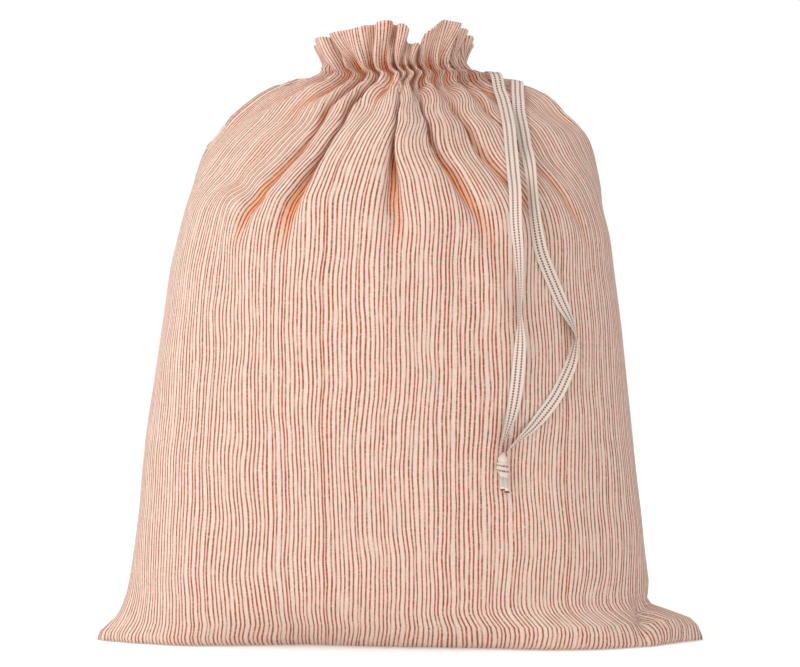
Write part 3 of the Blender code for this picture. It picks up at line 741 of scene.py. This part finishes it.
def add_mesh(name, points, faces, **layers):
    """A smooth-shaded mesh object from points in millimetres, with UV layers of a pair for each corner."""
    mesh = bpy.data.meshes.new(name)
    mesh.from_pydata([tuple(MM * float(c) for c in point) for point in points], [], faces)
    mesh.shade_smooth()
    for layer_name, pairs in layers.items():
        layer = mesh.uv_layers.new(name=layer_name)
        layer.data.foreach_set("uv", np.asarray(pairs, np.float32).ravel())
    made = bpy.data.objects.new(name, mesh)
    bpy.context.scene.collection.objects.link(made)
    return made


def make_bag():
    """The cloth as one thick sheet, whose UVs are the places in the flat cloth and the painted shade of the
    folds' valleys.
    """
    grid, numbers, up, columns, valley_shades = dressed_grid()
    rows, count, _ = grid.shape
    for column in range(1, count // 2):
        middle = (grid[SEAM_ROW, column] + grid[SEAM_ROW, count - column]) / 2.0
        grid[SEAM_ROW, column] = grid[SEAM_ROW, count - column] = middle
    points, index = [], np.zeros((rows, count), int)
    for row in range(rows):
        for column in range(count):
            if row == SEAM_ROW and column > count // 2:
                index[row, column] = index[row, count - column]
                continue
            index[row, column] = len(points)
            points.append(grid[row, column])
    across = measured_across(grid, numbers, columns)
    faces, places, folds = [], [], []
    for row in range(rows - 1):
        for column in range(count):
            corners = ((row, column), (row, column + 1), (row + 1, column + 1), (row + 1, column))
            faces.append([index[at, side % count] for at, side in corners])
            places += [(across[at, side] * MM, up[at] * MM) for at, side in corners]
            # The fold layer carries the painted shade of the valleys
            folds += [(valley_shades[at, side % count], 0.0) for at, side in corners]
    bag = add_mesh("bag_cloth", points, faces, cloth=places, fold=folds)
    wall = bag.modifiers.new("thickness", "SOLIDIFY")
    wall.thickness = CLOTH_THICKNESS * MM
    wall.offset = -1.0
    return bag


def surface_of(piece):
    """The piece's surface in millimetres, to lay the tape on."""
    points = [vertex.co / MM for vertex in piece.data.vertices]
    return BVHTree.FromPolygons(points, [tuple(face.vertices) for face in piece.data.polygons])


def clearance_over(surface, points, facing):
    """How far each point is from the first cloth met on the way in against its facing."""
    far = 80.0
    nothing_there = 99.0
    gaps = []
    for point, way in zip(points, facing):
        hit = surface.ray_cast(Vector(point + way * far), Vector(-way))
        gaps.append(hit[3] - far if hit[0] else nothing_there)
    return np.array(gaps)


def smooth_route(stations):
    """Every column of the route's table along a smooth curve, with a row about every STATION_STEP."""
    table = np.array([Station(*row) for row in stations], float)
    padded = np.vstack([2 * table[0] - table[1], table, 2 * table[-1] - table[-2]])
    rows = []
    for number in range(1, len(padded) - 2):
        length = float(np.linalg.norm((padded[number + 1] - padded[number])[:3]))
        count = max(1, round(length / STATION_STEP))
        rows += [between(padded, number, k / count) for k in range(count)]
    return np.array(rows + [table[-1]])


def unit(vectors):
    """The vectors' directions."""
    return vectors / np.linalg.norm(vectors, axis=-1, keepdims=True)


def tape_strip(stations, surface):
    """The middle line of a strand laid on the cloth, its directions across and out of it, and its width."""
    route = smooth_route(stations)
    middle = route[:, :3]
    faces, turn, width = np.radians(route[:, 3]), np.radians(route[:, 4]), route[:, 5]
    facing = np.stack([np.zeros(len(route)), -np.cos(faces), np.sin(faces)], axis=1)
    need = CLEARANCE + TAPE_THICKNESS / 2.0
    window = np.hanning(2 * TAPE_REACH + 3)[1:-1]
    for _ in range(LAYING_ROUNDS):
        side = unit(np.cross(np.gradient(middle, axis=0), facing))
        across = np.cos(turn)[:, None] * side + np.sin(turn)[:, None] * facing
        offsets = np.linspace(-0.5, 0.5, LAID_AT)
        gaps = [clearance_over(surface, middle + across * (width * at)[:, None], facing) for at in offsets]
        raise_by = need - np.min(gaps, axis=0)
        around = np.pad(raise_by, TAPE_REACH, mode="edge")
        highest = [around[start : start + len(route)] for start in range(2 * TAPE_REACH + 1)]
        wide = np.pad(np.max(highest, axis=0), TAPE_REACH, mode="edge")
        even = np.convolve(wide, window / window.sum(), mode="valid")
        middle = middle + facing * np.maximum(even, raise_by)[:, None]
    return middle, across, unit(np.cross(across, np.gradient(middle, axis=0))), width


def make_strand(name, stations, surface):
    """One strand of the tape, as a flat strip with thin edges, and the line that it follows."""
    middle, across, face, width = tape_strip(stations, surface)
    run = lengths(middle)
    columns = np.linspace(-0.5, 0.5, TAPE_COLUMNS + 1)
    points, places = [], []
    for side in (1.0, -1.0):
        for number in range(len(middle)):
            for column in columns:
                half = side * (1.0 - EDGE_THINNER * abs(2 * column) ** 6) * TAPE_THICKNESS / 2.0
                points.append(middle[number] + across[number] * width[number] * column + face[number] * half)
                places.append((column * TAPE_WIDTH * MM, run[number] * MM))
    front, back = np.arange(len(points)).reshape(2, len(middle), len(columns))

    def quads(*corners):
        return np.stack(corners, axis=-1)

    wide = [
        quads(front[1:, :-1], front[1:, 1:], front[:-1, 1:], front[:-1, :-1]),
        quads(back[:-1, :-1], back[:-1, 1:], back[1:, 1:], back[1:, :-1]),
    ]
    rims = [
        quads(front[:-1, 0], front[1:, 0], back[1:, 0], back[:-1, 0]),
        quads(back[:-1, -1], back[1:, -1], front[1:, -1], front[:-1, -1]),
    ]
    caps = [
        quads(front[0, :-1], back[0, :-1], back[0, 1:], front[0, 1:]),
        quads(front[-1, 1:], back[-1, 1:], back[-1, :-1], front[-1, :-1]),
    ]
    wide = np.stack(wide, axis=2).reshape(len(middle) - 1, -1, 4)
    along = np.concatenate([wide, np.stack(rims, axis=1)], axis=1).reshape(-1, 4)
    faces = np.concatenate([along, *caps]).tolist()
    strand = add_mesh(name, points, faces, cloth=[places[at] for face in faces for at in face])
    return strand, middle


def looped(loops, slant):
    """The points of level loops one under another, and how far round its loop each point is."""
    points, around = [], []
    for loop in (Loop(*row) for row in loops):
        for number in range(LOOP_SIDES + 1):
            turn = 2.0 * math.pi * number / LOOP_SIDES
            aside = loop.wide * math.sin(turn)
            points.append((loop.x + aside, TRIM_Y - loop.deep * math.cos(turn), loop.z - slant * aside))
            around.append(turn * (loop.wide + loop.deep) / 2.0)
    return np.array(points), np.array(around)


def looped_faces(count, first):
    """The faces between loops whose points start at the given number."""
    width = LOOP_SIDES + 1
    faces = []
    for row in range(count - 1):
        for side in range(LOOP_SIDES):
            corner = first + row * width + side
            faces.append([corner, corner + width, corner + width + 1, corner + 1])
    return faces


def laid_on(points, surface):
    """The points moved straight back or forward together, until they just clear the cloth."""
    facing = np.tile((0.0, -1.0, 0.0), (len(points), 1))
    gaps = clearance_over(surface, points, facing)
    return points + np.array((0.0, -1.0, 0.0)) * (CLEARANCE - gaps.min())


def make_knot(surface):
    """The knot, one wrap of the tape over another, with the tape's dashes round it."""
    points, around = looped(KNOT_LOOPS, KNOT_SLANT)
    faces = looped_faces(len(KNOT_LOOPS), 0)
    faces.append(list(range(LOOP_SIDES)))
    faces.append([len(points) - 2 - number for number in range(LOOP_SIDES)])
    across = points[:, 2] + KNOT_SLANT * (points[:, 0] - KNOT_X) - KNOT_MIDDLE
    places = [(across[at] * MM, around[at] * MM) for face in faces for at in face]
    return add_mesh("knot", laid_on(points, surface), faces, cloth=places)


def make_tails(surface):
    """The tape's two ends under the knot, each with a few loose yarns."""
    points, faces, places = np.zeros((0, 3)), [], []
    plain = (0.0, 0.0)
    dark = (TAPE_LINES_APART / 2.0 * MM, TAPE_DASH_PITCH / 2.0 * MM)
    for number, loops in enumerate(TAILS):
        first = len(points)
        added, _ = looped(loops, 0.0)
        new_faces = looped_faces(len(loops), first)
        faces += new_faces
        dark_from = first + (len(loops) - 1) * (LOOP_SIDES + 1)
        places += [dark if at >= dark_from else plain for face in new_faces for at in face]
        points = np.vstack([points, added])
        end = Loop(*loops[-1])
        for k in range(FRAYED):
            aside = end.wide * (2.0 * k / (FRAYED - 1) - 1.0)
            # Each loose end leans and hangs in its own way
            lean = 0.5 * aside + 0.4 * math.sin(5.0 * k + number)
            drop = FRAY_LENGTH * (0.6 + 0.4 * math.sin(9.0 * k + 2.0 * number))
            x, z = end.x + aside, end.z + YARN_ROOT
            root, tip = len(points), len(points) + 3
            yarn = [(x - YARN, TRIM_Y - YARN, z), (x + YARN, TRIM_Y - YARN, z), (x, TRIM_Y + YARN, z)]
            points = np.vstack([points, yarn, (x + lean, TRIM_Y - 0.2, end.z - drop)])
            faces += [[root, tip, root + 1], [root + 1, tip, root + 2], [root + 2, tip, root]]
            places += [dark if (k + number) % 2 else plain] * 9
    return add_mesh("tails", laid_on(points, surface), faces, cloth=places)


class Graph:
    """Short calls that add nodes to a material and link them."""

    def __init__(self, name):
        self.material = bpy.data.materials.new(name)
        self.material.use_nodes = True
        self.tree = self.material.node_tree
        self.shader = self.tree.nodes["Principled BSDF"]

    def add(self, kind):
        return self.tree.nodes.new("ShaderNode" + kind)

    def give(self, name, value):
        self.put(self.shader.inputs[name], value)

    def put(self, socket, value):
        if isinstance(value, bpy.types.NodeSocket):
            self.tree.links.new(value, socket)
        else:
            socket.default_value = value

    def math(self, operation, a, b=0.0):
        node = self.add("Math")
        node.operation = operation
        for socket, value in zip(node.inputs, (a, b)):
            self.put(socket, value)
        return node.outputs[0]

    def ramp(self, value, low, high, out_low=0.0, out_high=1.0):
        node = self.add("MapRange")
        node.interpolation_type = "SMOOTHSTEP"
        for name, x in (("From Min", low), ("From Max", high), ("To Min", out_low), ("To Max", out_high)):
            self.put(node.inputs[name], x)
        self.put(node.inputs["Value"], value)
        return node.outputs["Result"]

    def noise(self, x, y, z):
        node = self.add("TexNoise")
        place = self.add("CombineXYZ")
        for socket, value in zip(place.inputs, (x, y, z)):
            self.put(socket, value)
        self.put(node.inputs["Vector"], place.outputs[0])
        node.inputs["Scale"].default_value = 1.0
        node.inputs["Detail"].default_value = 1.0
        return node.outputs["Fac"]

    def random(self, x, seed):
        node = self.add("TexWhiteNoise")
        node.noise_dimensions = "1D"
        self.put(node.inputs["W"], self.math("ADD", x, seed))
        return node.outputs["Value"]

    def mix(self, share, a, b, way="MIX"):
        node = self.add("Mix")
        node.data_type = "RGBA"
        node.blend_type = way
        self.put(node.inputs["Factor"], share)
        colours = [socket for socket in node.inputs if socket.type == "RGBA"]
        for socket, value in zip(colours, (a, b)):
            self.put(socket, (*value, 1.0) if isinstance(value, tuple) else value)
        return next(socket for socket in node.outputs if socket.type == "RGBA")

    def bump(self, height, distance):
        node = self.add("Bump")
        node.inputs["Strength"].default_value = 1.0
        node.inputs["Distance"].default_value = distance
        self.put(node.inputs["Height"], height)
        return node.outputs[0]

    def layer(self, name):
        uv = self.add("UVMap")
        uv.uv_map = name
        parts = self.add("SeparateXYZ")
        self.put(parts.inputs[0], uv.outputs[0])
        return parts.outputs[0], parts.outputs[1]

    def cloth_place(self):
        """Across and along the cloth, in millimetres."""
        across, along = self.layer("cloth")
        return self.math("DIVIDE", across, MM), self.math("DIVIDE", along, MM)


STRIPE_PITCH = 3.35
CREAM = (0.90, 0.84, 0.76)
CREAM_SHADE = (0.80, 0.71, 0.61)
PINK_EDGE = (0.95, 0.68, 0.56)
ORANGE_RED = (0.52, 0.070, 0.014)
BROWN_RED = (0.30, 0.090, 0.028)
GLOW = (0.95, 0.34, 0.10)
SHINES_THROUGH = 0.32  # share of the light that passes through the cloth
# Painted shade: a warm tint multiplied into the cloth's colour in the valleys of its folds
PAINTED_VALLEY_SHADE = (1.0, 0.59, 0.31)


def striped_cloth():
    """Cream cloth with fine, uneven orange-red stripes that break into little dashes, with warm painted shade
    in the valleys of its folds.
    """
    g = Graph("striped_cloth_fabric")
    across, up = g.cloth_place()

    def over_cloth(size_across, size_up, seed):
        """Noise over the whole cloth, its patches this wide and tall."""
        return g.noise(g.math("DIVIDE", across, size_across), g.math("DIVIDE", up, size_up), seed)

    def along_stripe(size, seed):
        """Noise up the cloth that each stripe has to itself."""
        return g.noise(lane, g.math("DIVIDE", up, size), seed)

    def about_none(value, reach):
        """Values from 0 to 1, brought to lie about 0 over the given reach."""
        return g.math("MULTIPLY", g.math("SUBTRACT", value, 0.5), reach)

    broad = g.math("MULTIPLY", over_cloth(120.0, 95.0, 1.3), 17.0)
    middling = g.math("MULTIPLY", over_cloth(34.0, 42.0, 4.1), 3.5)
    count = g.math("DIVIDE", g.math("ADD", across, g.math("ADD", broad, middling)), STRIPE_PITCH)
    number = g.math("FLOOR", count)
    passed = g.math("SUBTRACT", g.math("FRACT", count), 0.5)
    lane = g.math("MULTIPLY", number, 7.31)
    sway = about_none(along_stripe(30.0, 0.0), 0.30)
    own = about_none(g.random(number, 0.37), 0.36)
    off = g.math("ABSOLUTE", g.math("SUBTRACT", passed, g.math("ADD", sway, own)))
    slub = g.math("MULTIPLY", along_stripe(3.0, 9.0), 0.10)
    wide = g.math("ADD", g.math("ADD", slub, 0.075), g.math("MULTIPLY", g.random(number, 5.9), 0.05))
    line = g.ramp(off, wide, g.math("ADD", wide, 0.07), 1.0, 0.0)
    dashes = g.ramp(along_stripe(0.75, 2.0), 0.34, 0.50, 0.45, 1.0)
    fading = g.ramp(along_stripe(22.0, 6.0), 0.28, 0.50, 0.55, 1.0)
    share = g.math("MULTIPLY", g.math("MULTIPLY", line, dashes), fading)
    warp = over_cloth(0.55, 7.0, 3.0)
    weft = over_cloth(7.0, 0.55, 8.0)
    weave = g.math("ADD", warp, weft)
    ground = g.mix(g.ramp(weave, 0.75, 1.25), CREAM_SHADE, CREAM)
    edge = g.math("MULTIPLY", g.ramp(off, wide, g.math("ADD", wide, 0.22), 1.0, 0.0), 0.8)
    brown = g.ramp(along_stripe(6.0, 12.0), 0.38, 0.62)
    plain = g.mix(share, g.mix(edge, ground, PINK_EDGE), g.mix(brown, ORANGE_RED, BROWN_RED))
    # Painted shade: in the valleys of the folds the colour is multiplied by a warm tint
    fold, _ = g.layer("fold")
    colour = g.mix(fold, plain, g.mix(1.0, plain, PAINTED_VALLEY_SHADE, "MULTIPLY"))
    g.give("Base Color", colour)
    g.give("Roughness", 0.92)
    g.give("Specular IOR Level", 0.2)
    g.give("Sheen Weight", 0.15)
    g.give("Normal", g.bump(weave, 0.25 * MM))
    through = g.add("BsdfTranslucent")
    g.put(through.inputs["Color"], g.mix(0.35, colour, GLOW))
    both = g.add("MixShader")
    both.inputs[0].default_value = SHINES_THROUGH
    g.put(both.inputs[1], g.shader.outputs[0])
    g.put(both.inputs[2], through.outputs[0])
    g.put(g.tree.nodes["Material Output"].inputs["Surface"], both.outputs[0])
    return g.material


TAPE_CREAM = (0.77, 0.68, 0.60)
TAPE_SHADE = (0.53, 0.45, 0.39)
TAPE_RED = (0.13, 0.016, 0.020)
TAPE_LINES_APART = 3.8
TAPE_DASH_PITCH = 2.1


def woven_tape():
    """Cream twill tape with two fine dark red dashed lines near its middle."""
    g = Graph("woven_tape_fabric")
    across, along = g.cloth_place()
    aside = g.math("ABSOLUTE", across)
    off = g.math("ABSOLUTE", g.math("SUBTRACT", aside, TAPE_LINES_APART / 2.0))
    line = g.ramp(off, 0.62, 0.82, 1.0, 0.0)
    beat = g.math("FRACT", g.math("DIVIDE", along, TAPE_DASH_PITCH))
    dash = g.ramp(g.math("ABSOLUTE", g.math("SUBTRACT", beat, 0.5)), 0.27, 0.35, 1.0, 0.0)
    share = g.math("MULTIPLY", line, dash)
    slant = g.math("ADD", g.math("DIVIDE", along, 1.1), g.math("DIVIDE", aside, 1.1))
    twill = g.math("PINGPONG", slant, 0.5)
    ground = g.mix(g.ramp(twill, 0.0, 0.5), TAPE_SHADE, TAPE_CREAM)
    g.give("Base Color", g.mix(share, ground, TAPE_RED))
    g.give("Roughness", 0.85)
    g.give("Specular IOR Level", 0.25)
    g.give("Sheen Weight", 0.1)
    edge = g.ramp(aside, 3.9, 4.5)
    g.give("Normal", g.bump(g.math("ADD", twill, g.math("MULTIPLY", edge, 0.6)), 0.2 * MM))
    return g.material


def make_floor():
    """A plain pale floor, just under the cloth."""
    ways = ((-1, -1), (1, -1), (1, 1), (-1, 1))
    corners = [(x * FLOOR_REACH, y * FLOOR_REACH, -CLOTH_THICKNESS) for x, y in ways]
    floor = add_mesh("floor", corners, [[0, 1, 2, 3]])
    g = Graph("pale_floor")
    g.give("Base Color", (0.9, 0.9, 0.9, 1.0))
    g.give("Roughness", 0.9)
    g.give("Emission Color", (1.0, 1.0, 1.0, 1.0))
    g.give("Emission Strength", FLOOR_SHINE)
    floor.data.materials.append(g.material)


def make_light():
    """A white room, brighter on the left and in front, and a large soft lamp on the left."""
    world = bpy.data.worlds.new("white_room")
    bpy.context.scene.world = world
    world.use_nodes = True
    add, link = world.node_tree.nodes.new, world.node_tree.links.new
    back, out = (world.node_tree.nodes[name] for name in ("Background", "World Output"))
    toward = add("ShaderNodeVectorMath")
    toward.operation = "DOT_PRODUCT"
    toward.inputs[1].default_value = ROOM_SIDE
    shade = add("ShaderNodeMath")
    shade.operation = "ADD"
    shade.inputs[1].default_value = ROOM_LIGHT
    white = add("ShaderNodeBackground")
    both = add("ShaderNodeMixShader")
    link(add("ShaderNodeTexCoord").outputs["Generated"], toward.inputs[0])
    link(toward.outputs["Value"], shade.inputs[0])
    link(shade.outputs[0], back.inputs["Strength"])
    back.inputs["Color"].default_value = ROOM_COLOUR
    white.inputs["Color"].default_value = (1.0, 1.0, 1.0, 1.0)
    link(add("ShaderNodeLightPath").outputs["Is Camera Ray"], both.inputs[0])
    link(back.outputs[0], both.inputs[1])
    link(white.outputs[0], both.inputs[2])
    link(both.outputs[0], out.inputs["Surface"])
    light = bpy.data.lights.new("soft_light", "AREA")
    light.size = LAMP_SIZE
    light.energy = LAMP_POWER
    light.color = LAMP_COLOUR
    lamp = bpy.data.objects.new("soft_light", light)
    lamp.location = LAMP_PLACE
    lamp.rotation_mode = "QUATERNION"
    lamp.rotation_quaternion = (lamp.location - Vector(LAMP_AIM)).to_track_quat("Z", "Y")
    bpy.context.scene.collection.objects.link(lamp)


def make_camera():
    """The camera at the photograph's viewing angle."""
    data = bpy.data.cameras.new("camera")
    data.lens = LENS
    data.sensor_width = SENSOR
    data.shift_y = SHIFT
    camera = bpy.data.objects.new("camera", data)
    camera.location = (0.0, -CAMERA_DISTANCE * MM, CAMERA_HEIGHT * MM)
    camera.rotation_euler = (math.radians(90.0), 0.0, 0.0)
    bpy.context.scene.collection.objects.link(camera)
    bpy.context.scene.camera = camera


def dress(piece, material, slot, *nodes):
    """Gives a piece its material, and lets it ride on the object in place of the named solids."""
    piece.data.materials.clear()
    piece.data.materials.append(material)
    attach(piece, "root")
    if nodes:
        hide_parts(*nodes)


def main():
    make_camera()
    cloth, tape = striped_cloth(), woven_tape()
    bag = make_bag()
    surface = surface_of(bag)
    dress(bag, cloth, "striped_cloth", "bag_body")
    trim = [make_knot(surface), make_tails(surface)]
    for piece, node in zip(trim, ("drawstring_knot", "drawstring_tails")):
        dress(piece, tape, "tape", node)
    for side, stations in (("left", LEFT_STRAND), ("right", RIGHT_STRAND)):
        strand, line = make_strand("tape_" + side, stations, surface)
        dress(strand, tape, "tape", "drawstring_" + side)
    bpy.context.scene.view_settings.view_transform = "Standard"
    make_floor()
    make_light()


main()
